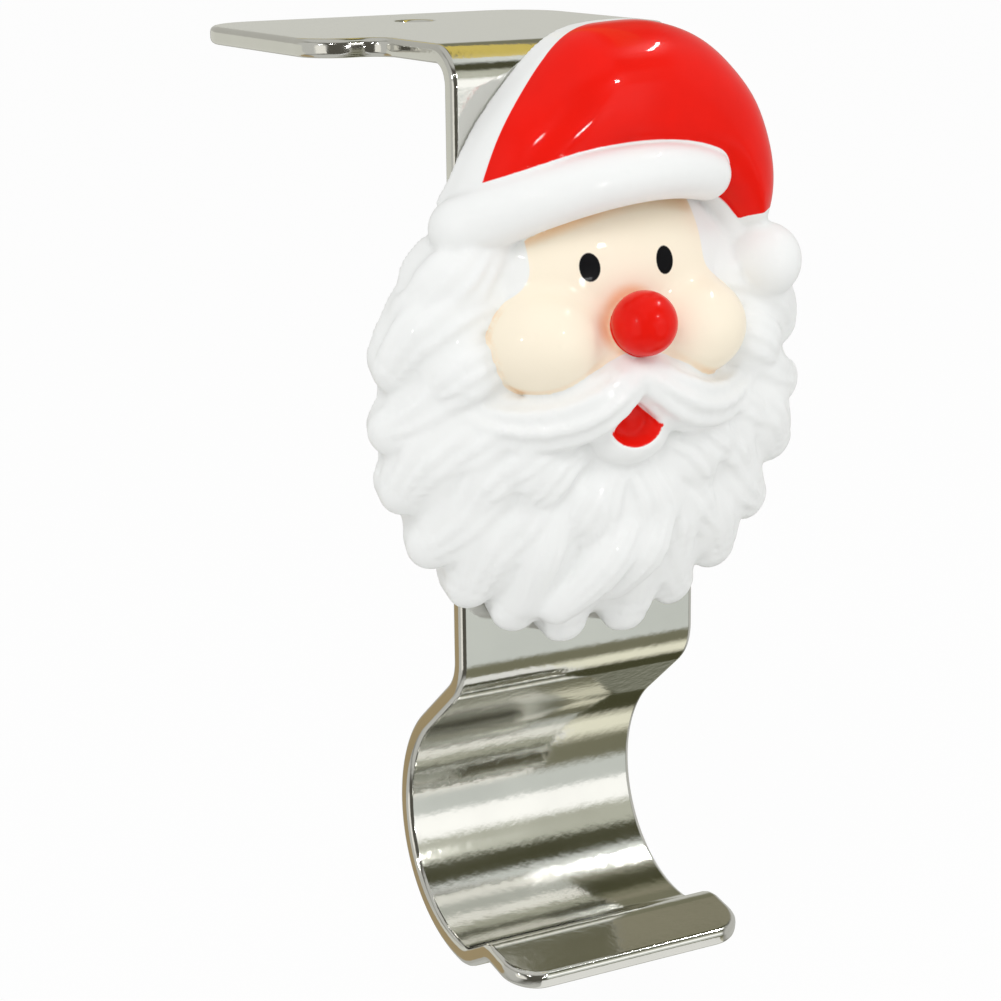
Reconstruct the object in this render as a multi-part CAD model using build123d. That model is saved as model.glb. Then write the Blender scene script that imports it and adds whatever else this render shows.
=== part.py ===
from build123d import *
import math
import os

# Mantel stocking holder: one bent plated strip with a moulded, painted head on its front.
# Millimetres, +Z up. The origin is the shelf's top front corner: the plate's underside is
# z = 0, the back of the upright run is y = 0, and the head faces -Y.

# Strip
STRIP_WIDTH = 37.5
STRIP_THICK = 2.6
EDGE_BREAK = 0.4

# Plate that lies on the shelf
PLATE_WIDTH = 58.0
PLATE_BACK = 59.5
PLATE_SHOULDER = 17.4
PLATE_BACK_ROUND = 9.5
SHOULDER = (PLATE_WIDTH - STRIP_WIDTH) / 2
PLATE_FRONT_ROUND = 0.6 * SHOULDER
NECK_ROUND = 0.3 * SHOULDER
SCREW_HOLE = 5.0
SCREW_HOLE_BACK = 44.0

# Bends of the strip, as inside radii, angles and straight lengths
SHELF_BEND = 2.8
RUN_LENGTH = 77.4
STEP_BEND = 5.4
STEP_ANGLE = 51.0
SLANT_LENGTH = 10.2
BOWL_RADIUS = 16.5
BOWL_ANGLE = 136.0
CREASE_RADIUS = 4.0
CREASE_ANGLE = 33.0
RISE_LENGTH = 4.2
CREST_BEND = 2.4
CREST_ANGLE = 40.0
LIP_LENGTH = 7.8
LIP_ROUND = 4.0

# Head: the face's mid-line is x = 0 and its flat back lies on the run's front
CAP_OUTLINE = [
    # x and z of the dome, from the brim's left end over the crown into the tail
    (-21.2, -18.5),
    (-18.2, -10.6),
    (-11.0, -2.6),
    (-1.5, 3.3),
    (8.0, 5.1),
    (16.8, 1.6),
    (22.0, -5.0),
    (22.6, -13.0),
]
CAP_START = (0.2, 0.98)
CAP_DEPTH = 11.4
CAP_EDGE = 6.5
TAIL_STATIONS = [
    # place on the tail's middle line, radius
    ((9.0, -6.0, -5.0), 8.0),
    ((16.6, -6.8, -6.6), 7.6),
    ((20.4, -7.4, -11.2), 6.6),
    ((22.2, -7.8, -16.4), 5.6),
    ((22.6, -8.4, -22.0), 5.0),
    ((22.8, -8.8, -25.0), 3.6),
]
BRIM_LEFT = (-20.4, -7.4, -20.2)
BRIM_MIDDLE = (-3.0, -15.4, -14.2)
BRIM_RIGHT = (13.6, -12.4, -15.0)
BRIM_ROLL = 3.8
BRIM_SPANS = 8
BRIM_END = [(0.45, 0.9), (0.8, 0.6), (0.95, 0.3)]
POMPOM_CENTRE = (25.6, -9.6, -27.4)
POMPOM_RADII = (5.3, 5.2, 5.3)
FACE_CENTRE = (0.0, -2.0, -28.5)
FACE_RADII = (21.5, 13.8, 15.5)
CHEEK_CENTRE = (11.8, -10.2, -34.4)
CHEEK_RADII = (8.8, 7.0, 7.4)
SIDEBURN_STATIONS = [
    # place on the roll's middle line, radius
    ((18.4, -7.6, -18.5), 2.2),
    ((21.6, -7.0, -25.0), 2.8),
    ((23.0, -6.8, -32.0), 3.0),
    ((21.4, -8.0, -38.6), 2.6),
]
NOSE_CENTRE = (0.0, -19.2, -32.6)
NOSE_RADII = (4.3, 4.3, 4.2)
MOUSTACHE_STATIONS = [
    # place on the middle line of one half, radius
    ((-1.0, -17.0, -39.2), 3.2),
    ((7.2, -16.4, -42.6), 4.5),
    ((14.0, -13.6, -43.6), 4.2),
    ((19.6, -10.8, -41.6), 3.0),
    ((21.8, -9.0, -36.6), 1.1),
]
MOUTH_CENTRE = (0.0, -19.5, -46.6)
MOUTH_RADII = (4.4, 4.2, 3.8)
LIP_CENTRE = (0.0, -15.0, -46.8)
LIP_RADII = (6.3, 3.8, 5.4)
CHIN_CENTRE = (0.0, -3.0, -53.0)
CHIN_RADII = (19.0, 10.5, 19.5)
BEARD_CENTRE = -44.5
BEARD_RADIUS = 30.8
BEARD_DEPTH = 8.0
BEARD_RINGS = [
    # share of the depth, share of the radius
    (0.0, 1.0),
    (0.2, 1.0),
    (0.6, 0.95),
    (0.88, 0.83),
    (1.0, 0.68),
]
LOCK_LAYERS = [
    # locks of one side: tip (x, z), fall below the level in degrees, length; then the layer's
    # half widths and the places in depth of its middle line, at root, belly and tip
    ([((26.6, -30.6), 42, 11), ((29.4, -37.6), 32, 14), ((30.2, -45.6), 29, 15), ((28.8, -53.8), 36, 15),
      ((25.0, -61.6), 45, 16), ((19.2, -68.0), 56, 17), ((12.6, -72.2), 66, 18), ((4.8, -75.0), 80, 20)],
     (4.2, 5.6, 3.4), (-9.2, -8.8, -6.6)),
    ([((25.0, -42.0), 30, 9), ((24.6, -50.0), 33, 13), ((21.6, -57.5), 42, 15), ((16.8, -63.8), 52, 16),
      ((10.6, -68.2), 66, 17), ((3.6, -70.6), 80, 18)],
     (3.6, 5.0, 2.4), (-11.0, -11.0, -9.2)),
    ([((17.6, -52.4), 35, 9), ((13.6, -57.6), 48, 11), ((8.8, -61.8), 60, 12), ((3.2, -64.4), 78, 13)],
     (3.0, 4.4, 1.8), (-13.4, -13.2, -11.4)),
]
TUBE_SIDES = 14
BEAD_SIDES = 18
BEAD_BANDS = 9
LOCK_FLATNESS = 0.62
LOCK_BOW = 1.6
LOCK_BOW_BACK = -0.6
LOCK_BELLY = 0.55
LOCK_END_REACH = 0.85
LOCK_END_WIDTH = 0.5
LOCK_TURNS = [math.radians(turn) for turn in (0, 50, 90, 130, 180)]

FRONT = -STRIP_THICK
BEHIND = 6 * BEARD_RADIUS
HALF_THICK = STRIP_THICK / 2


def strip_path():
    """Mid-line of the strip in the YZ plane, from inside the plate to the end of the lip."""
    edges = []

    def straight(point, heading, length):
        edges.append(PolarLine(point, length, heading))
        return edges[-1] @ 1

    def bend(point, heading, inside_radius, turn):
        tangent = (math.cos(math.radians(heading)), math.sin(math.radians(heading)))
        edges.append(JernArc(point, tangent, inside_radius + HALF_THICK, turn))
        return edges[-1] @ 1, heading + turn

    heading = 180.0
    point = (PLATE_SHOULDER, HALF_THICK)
    point = straight(point, heading, PLATE_SHOULDER - SHELF_BEND)
    point, heading = bend(point, heading, SHELF_BEND, 90)
    point = straight(point, heading, RUN_LENGTH)
    point, heading = bend(point, heading, STEP_BEND, STEP_ANGLE)
    point = straight(point, heading, SLANT_LENGTH)
    point, heading = bend(point, heading, BOWL_RADIUS, -BOWL_ANGLE)
    point, heading = bend(point, heading, CREASE_RADIUS, -CREASE_ANGLE)
    point = straight(point, heading, RISE_LENGTH)
    point, heading = bend(point, heading, CREST_BEND, CREST_ANGLE)
    straight(point, heading, LIP_LENGTH)
    return Wire(edges)


def plate_outline():
    """Plan of the shelf plate, with a narrower neck that runs into the strip."""
    middle = (PLATE_SHOULDER + PLATE_BACK) / 2
    plate = Pos(0, middle) * Rectangle(PLATE_WIDTH, PLATE_BACK - PLATE_SHOULDER)
    back = plate.vertices().group_by(Axis.Y)[-1]
    plate = fillet(back, PLATE_BACK_ROUND)
    front = plate.vertices().group_by(Axis.Y)[0]
    plate = fillet(front, PLATE_FRONT_ROUND)
    neck_length = PLATE_SHOULDER - SHELF_BEND + 2
    neck = Pos(0, SHELF_BEND + neck_length / 2) * Rectangle(STRIP_WIDTH, neck_length)
    outline = plate + neck
    inner = [v for v in outline.vertices()
             if abs(v.Y - PLATE_SHOULDER) < 0.01 and abs(abs(v.X) - STRIP_WIDTH / 2) < 0.01]
    outline = fillet(inner, NECK_ROUND)
    hole = Pos(0, SCREW_HOLE_BACK) * Circle(SCREW_HOLE / 2)
    return outline - hole


def make_hook_strip():
    """Plate, run, step, bowl and lip, bent from one strip."""
    path = strip_path()
    start = Plane(origin=(0, PLATE_SHOULDER, HALF_THICK), x_dir=(1, 0, 0), z_dir=(0, -1, 0))
    section = start * Rectangle(STRIP_WIDTH, STRIP_THICK)
    strip = sweep(section, path=Plane.YZ * path)
    lip_end = strip.faces().sort_by(Axis.Y)[0]
    corners = [e for e in lip_end.edges() if abs(e.tangent_at(0.5).X) < 0.1]
    strip = fillet(corners, LIP_ROUND)
    strip = strip + extrude(plate_outline(), STRIP_THICK)
    strip = strip.clean()
    return chamfer(strip.edges(), EDGE_BREAK)


def blob(centre, radii):
    """Ellipsoid with its own half-size along each axis."""
    return Pos(*centre) * scale(Sphere(1), by=radii)


def bead(centre, radii):
    """Small ellipsoid of flat faces, with its own half-size along each axis."""
    wide, deep, tall = radii
    sides = round(BEAD_SIDES)
    bands = round(BEAD_BANDS)
    turns = [2 * math.pi * side / sides for side in range(sides)]
    rim = [(wide * math.cos(turn), deep * math.sin(turn)) for turn in turns]
    rings = [Vertex(0, 0, -tall)]
    for band in range(1, bands):
        level = math.pi * band / bands
        corners = [(x * math.sin(level), y * math.sin(level)) for x, y in rim]
        rings.append(Pos(0, 0, -tall * math.cos(level)) * make_face(Polyline(corners, close=True)))
    rings.append(Vertex(0, 0, tall))
    return Pos(*centre) * loft(rings, ruled=True)


def mirrored(shape):
    """A form and its mirror image across the face's mid-line."""
    return shape + mirror(shape, Plane.YZ)


def tangent_arcs(points, direction):
    """Arcs through points, each leaving along the end of the one before."""
    arcs = []
    for start, end in zip(points, points[1:]):
        arcs.append(TangentArc(start, end, tangent=direction))
        direction = arcs[-1] % 1
    return arcs


def tube(stations):
    """Roll of changing radius through stations, with a many-sided section."""
    places = [Vector(*place) for place, radius in stations]
    sections = []
    for index, (place, radius) in enumerate(stations):
        ahead = places[min(index + 1, len(places) - 1)] - places[max(index - 1, 0)]
        across = Plane(origin=place, x_dir=(0, 1, 0), z_dir=ahead)
        sections.append(across * RegularPolygon(radius, round(TUBE_SIDES)))
    return loft(sections, ruled=True)


def cap():
    """Dome of the cap with a rounded front edge, and a tail that droops to one side."""
    arcs = tangent_arcs(CAP_OUTLINE, CAP_START)
    plan = make_face(Wire(arcs + [Line(CAP_OUTLINE[-1], CAP_OUTLINE[0])]))
    dome = extrude(Plane.XZ.offset(STRIP_THICK) * plan, CAP_DEPTH)
    front = dome.faces().sort_by(Axis.Y)[0]
    rounded = [e for e in front.edges() if e.geom_type == GeomType.CIRCLE]
    dome = fillet(rounded, CAP_EDGE)
    return [dome, tube(TAIL_STATIONS)]


def brim():
    """Round roll along the cap's edge, with turned-in ends."""
    path = ThreePointArc(BRIM_LEFT, BRIM_MIDDLE, BRIM_RIGHT)
    spans = round(BRIM_SPANS)
    stations = [(path @ (span / spans), BRIM_ROLL) for span in range(spans + 1)]
    for out, spread in BRIM_END:
        before = path @ 0 - (path % 0) * (BRIM_ROLL * out)
        after = path @ 1 + (path % 1) * (BRIM_ROLL * out)
        stations = [(before, BRIM_ROLL * spread), *stations, (after, BRIM_ROLL * spread)]
    return tube(stations)


def lock_section(place, ahead, half_width):
    """Section of a lock: a low crown over straight flanks that reach back into the beard."""
    side = Vector(0, -1, 0).cross(ahead)
    crown = LOCK_FLATNESS * half_width
    deep = place.Y - FRONT
    corners = [(half_width * math.cos(turn), crown * math.sin(turn)) for turn in LOCK_TURNS]
    corners += [(-half_width, deep), (half_width, deep)]
    return Plane(origin=place, x_dir=side, z_dir=ahead) * make_face(Polyline(corners, close=True))


def beard_lock(tip, fall, length, half_widths, depths, bow):
    """One lock of the beard, bowed between its root and its rounded tip."""
    angle = math.radians(fall)
    along = Vector(math.cos(angle), 0, -math.sin(angle))
    aside = Vector(math.sin(angle), 0, math.cos(angle))
    end = Vector(tip[0], depths[2], tip[1])
    root = Vector(tip[0], depths[0], tip[1]) - along * length
    belly = Vector(root.X, depths[1], root.Z) + along * (LOCK_BELLY * length) + aside * bow
    beyond = end + (end - belly).normalized() * (LOCK_END_REACH * half_widths[2])
    places = [root, belly, end, beyond]
    widths = [*half_widths, LOCK_END_WIDTH * half_widths[2]]
    sections = []
    for index, (place, half_width) in enumerate(zip(places, widths)):
        ahead = places[min(index + 1, len(places) - 1)] - places[max(index - 1, 0)]
        flat = Vector(ahead.X, 0, ahead.Z)
        sections.append(lock_section(place, flat, half_width))
    return loft(sections, ruled=True)


def beard():
    """Round pad with a domed edge, the chin on it, and three layers of locks."""
    rings = []
    for forward, spread in BEARD_RINGS:
        level = Plane.XZ.offset(STRIP_THICK + BEARD_DEPTH * forward)
        rings.append(level * Pos(0, BEARD_CENTRE) * Circle(BEARD_RADIUS * spread))
    pad = loft(rings, ruled=True)
    forms = [blob(CHIN_CENTRE, CHIN_RADII)]
    for layer, (locks, half_widths, depths) in enumerate(LOCK_LAYERS):
        for index, (tip, fall, length) in enumerate(locks):
            bow = LOCK_BOW if (index + layer) % 2 else LOCK_BOW_BACK
            right = beard_lock(tip, fall, length, half_widths, depths, bow)
            forms.append(mirror(right, Plane.YZ))
            if tip[1] < POMPOM_CENTRE[2] - POMPOM_RADII[2]:
                forms.append(right)
    return pad + forms


def make_figure_head():
    """Bearded face under a drooping cap, moulded as one piece with a flat back."""
    head = beard() + [
        blob(FACE_CENTRE, FACE_RADII),
        mirrored(blob(CHEEK_CENTRE, CHEEK_RADII)),
        bead(LIP_CENTRE, LIP_RADII),
        mirrored(tube(SIDEBURN_STATIONS)),
    ]
    head = head - bead(MOUTH_CENTRE, MOUTH_RADII)
    head = head + [
        mirrored(tube(MOUSTACHE_STATIONS)),
        bead(NOSE_CENTRE, NOSE_RADII),
        bead(POMPOM_CENTRE, POMPOM_RADII),
        brim(),
    ] + cap()
    behind = Pos(0, FRONT + BEHIND / 2, BEARD_CENTRE) * Box(BEHIND, BEHIND, BEHIND)
    return head - behind


if __name__ == "__main__":
    os.makedirs("parts", exist_ok=True)
    export_step(make_hook_strip(), "parts/hook_strip.step")
    export_step(make_figure_head(), "parts/figure_head.step")
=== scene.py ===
"""Mantel stocking holder: a plated strip bent over a shelf's edge, with a painted head on its front."""

import math

import bmesh
import bpy
import numpy as np
from bpy.props import FloatProperty, FloatVectorProperty, IntProperty, PointerProperty
from mathutils import Matrix, Vector


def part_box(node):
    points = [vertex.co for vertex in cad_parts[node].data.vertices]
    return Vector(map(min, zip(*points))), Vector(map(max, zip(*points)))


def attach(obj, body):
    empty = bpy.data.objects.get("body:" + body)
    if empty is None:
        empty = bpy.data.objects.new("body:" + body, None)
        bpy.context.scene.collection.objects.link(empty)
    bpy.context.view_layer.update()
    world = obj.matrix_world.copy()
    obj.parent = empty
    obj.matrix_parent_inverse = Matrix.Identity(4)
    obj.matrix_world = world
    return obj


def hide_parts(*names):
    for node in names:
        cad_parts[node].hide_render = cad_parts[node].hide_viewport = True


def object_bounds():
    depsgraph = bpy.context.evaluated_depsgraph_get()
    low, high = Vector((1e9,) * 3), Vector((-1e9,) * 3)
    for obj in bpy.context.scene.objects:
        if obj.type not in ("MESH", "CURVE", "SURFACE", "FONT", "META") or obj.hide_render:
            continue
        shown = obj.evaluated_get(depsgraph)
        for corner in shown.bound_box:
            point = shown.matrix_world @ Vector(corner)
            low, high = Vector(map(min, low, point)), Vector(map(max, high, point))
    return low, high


bl_info = {
    "name": "Mantel stocking holder",
    "version": (1, 0, 0),
    "blender": (4, 5, 0),
    "location": "View3D > Sidebar > Holder",
    "description": "Bends the plated strip, moulds and paints the head, and sets the studio",
    "category": "Object",
}

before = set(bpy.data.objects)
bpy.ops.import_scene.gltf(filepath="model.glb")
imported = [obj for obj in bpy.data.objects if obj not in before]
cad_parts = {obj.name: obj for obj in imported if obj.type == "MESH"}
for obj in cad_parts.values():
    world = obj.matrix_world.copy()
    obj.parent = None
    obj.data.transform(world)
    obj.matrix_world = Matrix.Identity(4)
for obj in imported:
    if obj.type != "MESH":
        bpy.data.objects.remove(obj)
CAD_LOW, CAD_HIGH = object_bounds()
STRIP_LOW, STRIP_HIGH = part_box("hook_strip")
HEAD_LOW, HEAD_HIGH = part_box("figure_head")

MM = 0.001
IMAGE_PIXELS = 1001
SENSOR_MM = 36.0
NODE_COLUMN = 200
NODE_ROW = 260

# Strip, in metres and degrees: inside radii and turns of its bends, and its short straights
STRAIGHT = 0.0
SHELF_BEND = 0.0028
SHELF_TURN = 90.0
STEP_BEND = 0.0054
STEP_TURN = 51.0
SLANT = 0.0102
BOWL_TURN = -136.0
CREASE_BEND = 0.004
CREASE_TURN = -33.0
RISE = 0.0042
CREST_BEND = 0.0024
CREST_TURN = 40.0
LIP = 0.0078
LEAST_STEPS = 4
# shares of the step from plate to neck that its outer and inner corners take
SHOULDER_CORNERS = (0.6, 0.3)
HOLE_SIDES = 48
RIM_ANGLE = 1.0
PLATING_SHADE = (0.93, 0.93, 0.93)
POLISH = (0.08, 0.14)

# Head, in millimetres: x to the viewer's right, y to the back, z up from the shelf's top
HEAD_BACK = HEAD_HIGH.y / MM
CAP_OUTLINE = [
    # x and z, from the brim's left end over the crown to the tail's end and back along the brim
    (-21.2, -18.0), (-19.6, -14.2), (-16.2, -8.2), (-11.7, -2.7), (-7.0, 1.9), (-2.4, 4.3), (3.5, 5.0),
    (9.2, 4.8), (15.3, 2.9), (20.3, -0.6), (24.9, -6.0), (27.6, -13.2), (27.8, -19.5), (25.6, -24.6),
    (21.2, -24.0), (17.6, -20.0), (14.0, -17.5), (4.0, -16.0), (-3.0, -16.4), (-14.0, -19.0),
]
CAP_FRONT = -13.2
CAP_CROWN = 2.0
CROWN_HEIGHT = -6.0
CROWN_SPREAD = 200.0
CAP_ROUND = (8.5, 8.0)
RED_EDGE = ((-20.0, -8.0, 0.0, 20.0), (-9.8, -7.6, -5.4, -4.8))
BRIM_ENDS = ((-20.4, -7.4, -20.2), (-3.0, -15.4, -14.2), (13.6, -12.4, -15.0))
BRIM_RADII = (4.2, 3.8, 3.5)
BRIM_STATIONS = 16
POMPOM = ((25.0, -9.6, -27.8), (5.3, 5.3, 5.3))
CUFF = 2.0
FACE = ((0.0, -2.0, -28.5), (21.5, 13.8, 15.5))
CHEEK = ((11.2, -12.2, -35.0), (8.0, 7.4, 6.9))
# fills the space that beard, face and lip would close in
CORE = ((0.8, -9.5, -42.2), (13.0, 5.5, 8.0))
MUZZLE = ((0.0, -13.2, -36.6), (9.5, 4.6, 5.2))
MUZZLE_BLEND = 2.0
FOREHEAD = 13.2
SIDEBURN = [(18.4, -7.6, -18.5), (21.6, -7.0, -25.0), (23.0, -6.8, -32.0), (21.4, -8.0, -38.6)]
SIDEBURN_RADII = (2.2, 2.8, 3.0, 2.6)
SIDEBURN_STATIONS = 12
SIDEBURN_BLEND = 1.0
NOSE = ((0.0, -19.2, -32.6), (4.3, 4.3, 4.3))
EYE_SPREAD = 5.7
EYE_HEIGHT = -25.4
EYE_SIZE = (1.45, 1.85)
EYE_DEPTH = -8.0
MOUSTACHE = [
    (1.2, -17.0, -39.8), (6.6, -16.4, -43.4), (13.2, -13.4, -45.4), (20.4, -9.8, -44.2),
    (24.2, -7.6, -38.5),
]
MOUSTACHE_RADII = (3.2, 4.4, 4.2, 3.2, 1.2)
MOUSTACHE_STATIONS = 14
MOUSTACHE_BLEND = 0.5
MOUSTACHE_STRANDS = 9
MOUTH_HOLLOW = ((-0.4, -19.5, -45.6), (4.3, 4.2, 3.6))
TONGUE = ((0.0, -13.4, -46.2), (4.6, 3.0, 4.0))
LOWER_LIP = ((0.0, -15.0, -46.8), (6.3, 3.8, 5.4))
CHIN = ((0.0, -3.0, -53.0), (19.0, 10.5, 19.5))
CHIN_BLEND = 3.0
BEARD_DISC = ((0.0, -44.5), 30.8)
BEARD_FRONT = -10.6
BEARD_ROUND = (6.5, 7.2)
LOCK_LAYERS = [
    # one side's locks: tip (x, z), fall below the level in degrees, length; then the layer's half widths
    # and depths at root, belly and tip
    ([((26.6, -30.6), 42, 11), ((29.4, -37.6), 32, 14), ((30.2, -45.6), 29, 15), ((28.8, -53.8), 36, 15),
      ((25.0, -61.6), 45, 16), ((19.2, -68.0), 56, 17), ((12.6, -72.2), 66, 18), ((4.8, -75.0), 80, 20)],
     (4.2, 5.6, 3.4), (-9.2, -8.8, -6.6)),
    ([((25.0, -42.0), 30, 9), ((24.6, -50.0), 33, 13), ((21.6, -57.5), 42, 15), ((16.8, -63.8), 52, 16),
      ((10.6, -68.2), 66, 17), ((3.6, -70.6), 80, 18)],
     (3.6, 5.0, 2.4), (-11.0, -11.0, -9.2)),
    ([((17.6, -52.4), 35, 9), ((13.6, -57.6), 48, 11), ((8.8, -61.8), 60, 12), ((3.2, -64.4), 78, 13)],
     (3.0, 4.4, 1.8), (-13.4, -13.2, -11.4)),
]
FOLDS = [
    # folds over the middle of the beard: places of root, belly and tip, and half widths
    ([(2.3, -13.0, -58.1), (-2.1, -13.6, -65.1), (-8.3, -10.5, -71.7)], (2.4, 3.6, 2.6)),
    ([(-9.2, -12.5, -58.2), (-11.1, -12.2, -64.1), (-12.4, -9.0, -71.1)], (2.0, 3.0, 2.0)),
    ([(6.7, -13.5, -58.0), (3.9, -13.6, -64.6), (0.4, -11.0, -69.6)], (2.0, 3.2, 2.2)),
]
LOCK_FLATNESS = 0.62
LOCK_BOW = 1.6
LOCK_BACK_BOW = -0.4
LOCK_BELLY = 0.55
LOCK_BLEND = 1.2
LOCK_PHASE = 6
FOLD_BLEND = 1.6
FOLD_GROOVE = 0.6
STRAND_FADE = 5
STRAND_TWIST = 2
ROUND_FORMS = {
    "pompom": POMPOM,
    "face": FACE,
    "nose": NOSE,
    "lip": LOWER_LIP,
    "hollow": MOUTH_HOLLOW,
    "tongue": TONGUE,
}
# size of the rounded joint where a form meets the rest
LIP_JOINT = 0.6
CHEEK_JOINT = 2.0
FACE_JOINT = 0.5
HOLLOW_JOINT = 0.5
LATER_JOINTS = {"tongue": 0.4, "moustache": 1.0, "cap": 0.5, "pompom": 0.8, "brim": 0.5, "nose": 0.4}
# how far paint runs past the form that it covers, and how far it stays off other forms
PAINT_PAST = {"cap": 0.3, "nose": 0.25, "hollow": 0.15, "face": 0.6, "cheek": 0.4}
RED_OFF_BRIM = 0.4
RED_OFF_MOUSTACHE = 0.3
RED_TAIL_SLOPE = 0.95
SKIN_OFF = 0.35
SKIN_BLEND = 3.0
PAINT_SOFTNESS = 0.08
# painted shade in the creases: factors on the white, and on the skin, whose darker crease tone is part the
# figure's own shading paint and part painted shade
WHITE_CREASE_SHADE = (0.94, 0.945, 0.935)
SKIN_CREASE_PAINT_AND_SHADE = (0.96, 0.74, 0.56)
RED_SHADE = (0.8, 0.8, 0.8)
# weight of the clear coat off and on the black paint
COAT_WEIGHTS = (0.25, 0.03)
# sculpting grid
OPEN_SPACE = 30.0
FAR_AWAY = 99.0
BLOCK_MARGIN = 1.5
SLOPE_PROBE = 0.6
SETTLE_ROUNDS = 3
SETTLE_STEP = 0.2
LEAST_SLOPE = 0.05
# probe of the painted crease shade: how far out from the surface it looks, and the share of that distance
# from which on there is no shade
CREASE_SHADE_REACH = 1.4
CREASE_SHADE_SHARE = 0.8

# Studio
ROOM_TONES = {
    "window": (1.35, 1.35, 1.33),
    "cream": (1.0, 0.98, 0.8),
    "pale": (0.72, 0.75, 0.72),
    "grey": (0.62, 0.62, 0.57),
    "card": (0.54, 0.55, 0.46),
    "brown": (0.31, 0.29, 0.21),
    "olive": (0.22, 0.215, 0.145),
    "dark": (0.07, 0.07, 0.035),
}
ROOM_BANDS = [
    # angle round the x axis, from the back over the top to the front, and the tone that lies there
    (0, "grey"), (14, "grey"), (26, "olive"), (46, "olive"), (52, "brown"), (60, "olive"), (66, "dark"),
    (79, "dark"), (90, "olive"), (102, "pale"), (113, "pale"), (121, "dark"), (135, "dark"), (143, "card"),
    (158, "card"), (166, "window"), (183, "window"), (189, "pale"), (205, "pale"), (214, "olive"),
    (232, "olive"), (244, "cream"), (258, "cream"), (270, "dark"), (300, "dark"), (312, "card"),
    (330, "olive"), (360, "grey"),
]
ROOM_DARK = (0.1, 0.095, 0.08)
ROOM_BACK = (0.52, 0.515, 0.48)
ROOM_WALLS = (0.6, 0.6, 0.575)
ROOM_SIDE = ((0.2, 0.38), (0.56, 0.75))
ROOM_DEPTH = (0.2, 0.6)
ROOM_REACH = (0.62, 0.82)
ROOM_SWAY = 0.008
FLOOR_GLOW = 0.94
FLOOR_COLOUR = (0.85, 0.85, 0.84)
FLOOR_HALF = 6
FLOOR_DROP = 0.03
SQUARE = ((-1, -1), (1, -1), (1, 1), (-1, 1))
GLINT_FROM = (0.0, -0.015, -0.02)
GLINT_LAMPS = [
    # small lamps that the paint mirrors, in degrees: right of the front, up, width and height
    (78, 52.5, 13, 1.8), (20, 27, 4.2, 4.0), (8, 1, 6, 1.5), (-33, 28, 4, 1.5), (-64, 18, 3, 3),
]
STUDIO_CARDS = [
    # cards that the plating mirrors: name, centre, width and height, the way it faces, colour
    ("brass_card", (0.1075, 0.23, 0.2), (0.045, 0.54), (0, 0, -1), (0.78, 0.62, 0.16)),
    ("brown_card", (-0.089, 0.1325, -0.155), (0.14, 0.1), (0.47, -0.85, 0.24), (0.42, 0.33, 0.19)),
    ("lip_card", (0.012, -0.028, -0.15), (0.05, 0.046), (0, 0, 1), (0.95, 0.95, 0.93)),
    ("side_card", (-0.1, 0.14, -0.044), (0.2, 0.122), (0.47, -0.85, 0.24), (0.72, 0.72, 0.66)),
    ("left_card", (-0.82, -0.44, -0.2), (0.5, 0.7), (0.82, 0.44, 0.2), (1.0, 0.98, 0.92)),
]
LAMP_TARGET = (0, 0, -0.05)
LAMPS = [
    # name, place, width and height, share of the lamp power
    ("softbox_left", (-0.45, -0.5, 0.55), (0.35, 0.35), 1.0),
    ("softbox_right", (0.5, -0.45, 0.35), (0.15, 0.3), 0.4),
]


# Settings

def length_setting(name, description, default):
    """Property for a length in metres."""
    return FloatProperty(name=name, description=description, default=default, unit="LENGTH")


def angle_setting(name, description, degrees):
    """Property for an angle, with its default given in degrees."""
    default = math.radians(degrees)
    return FloatProperty(name=name, description=description, default=default, subtype="ANGLE")


def colour_setting(name, description, default):
    """Property for a colour."""
    return FloatVectorProperty(name=name, description=description, default=default, subtype="COLOR",
                               min=0, max=1)


class StripSettings(bpy.types.PropertyGroup):
    """Sizes of the bent strip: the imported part's, with rounder edges and lip corners."""

    width: length_setting("Width", "Width of the strip", 0.0375)
    thick: length_setting("Thickness", "Thickness of the strip", 0.0026)
    edge_round: length_setting("Edge round", "Radius of the rubbed edges", 0.0009)
    plate_width: length_setting("Plate width", "Width of the shelf plate", STRIP_HIGH.x - STRIP_LOW.x)
    plate_back: length_setting("Plate back", "How far the plate reaches over the shelf", STRIP_HIGH.y)
    shoulder: length_setting("Shoulder", "Where the plate narrows to the neck", 0.0174)
    back_round: length_setting("Back corners", "Radius of the plate's back corners", 0.0095)
    lip_round: length_setting("Lip corners", "Radius of the lip's corners", 0.005)
    screw_hole: length_setting("Screw hole", "Diameter of the screw hole", 0.005)
    screw_back: length_setting("Screw hole back", "Distance of the hole behind the run", 0.044)
    run: length_setting("Run", "Straight length of the upright run", 0.0774)
    bowl: length_setting("Bowl", "Inside radius of the hook's bowl", 0.0165)
    plating: colour_setting("Plating", "Colour of the plating", (0.745, 0.74, 0.7))


class HeadSettings(bpy.types.PropertyGroup):
    """Fineness, locks and paint of the moulded head."""

    cell: FloatProperty(name="Cell", description="Cell of the sculpting grid, in millimetres",
                        default=0.45, min=0.3)
    strands: IntProperty(name="Strands", description="Grooves round one lock of the beard",
                         default=8, min=2)
    groove: FloatProperty(name="Groove", description="Depth of the grooves, in millimetres",
                          default=0.5, min=0)
    seed: IntProperty(name="Seed", description="Seed of the locks' small differences", default=5)
    white: colour_setting("White", "Colour of the bare moulding", (0.87, 0.88, 0.87))
    red: colour_setting("Red", "Colour of the cap, nose and mouth", (0.9, 0.01, 0.004))
    skin: colour_setting("Skin", "Colour of the face", (0.95, 0.86, 0.7))
    black: colour_setting("Black", "Colour of the eyes", (0.006, 0.006, 0.007))


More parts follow.
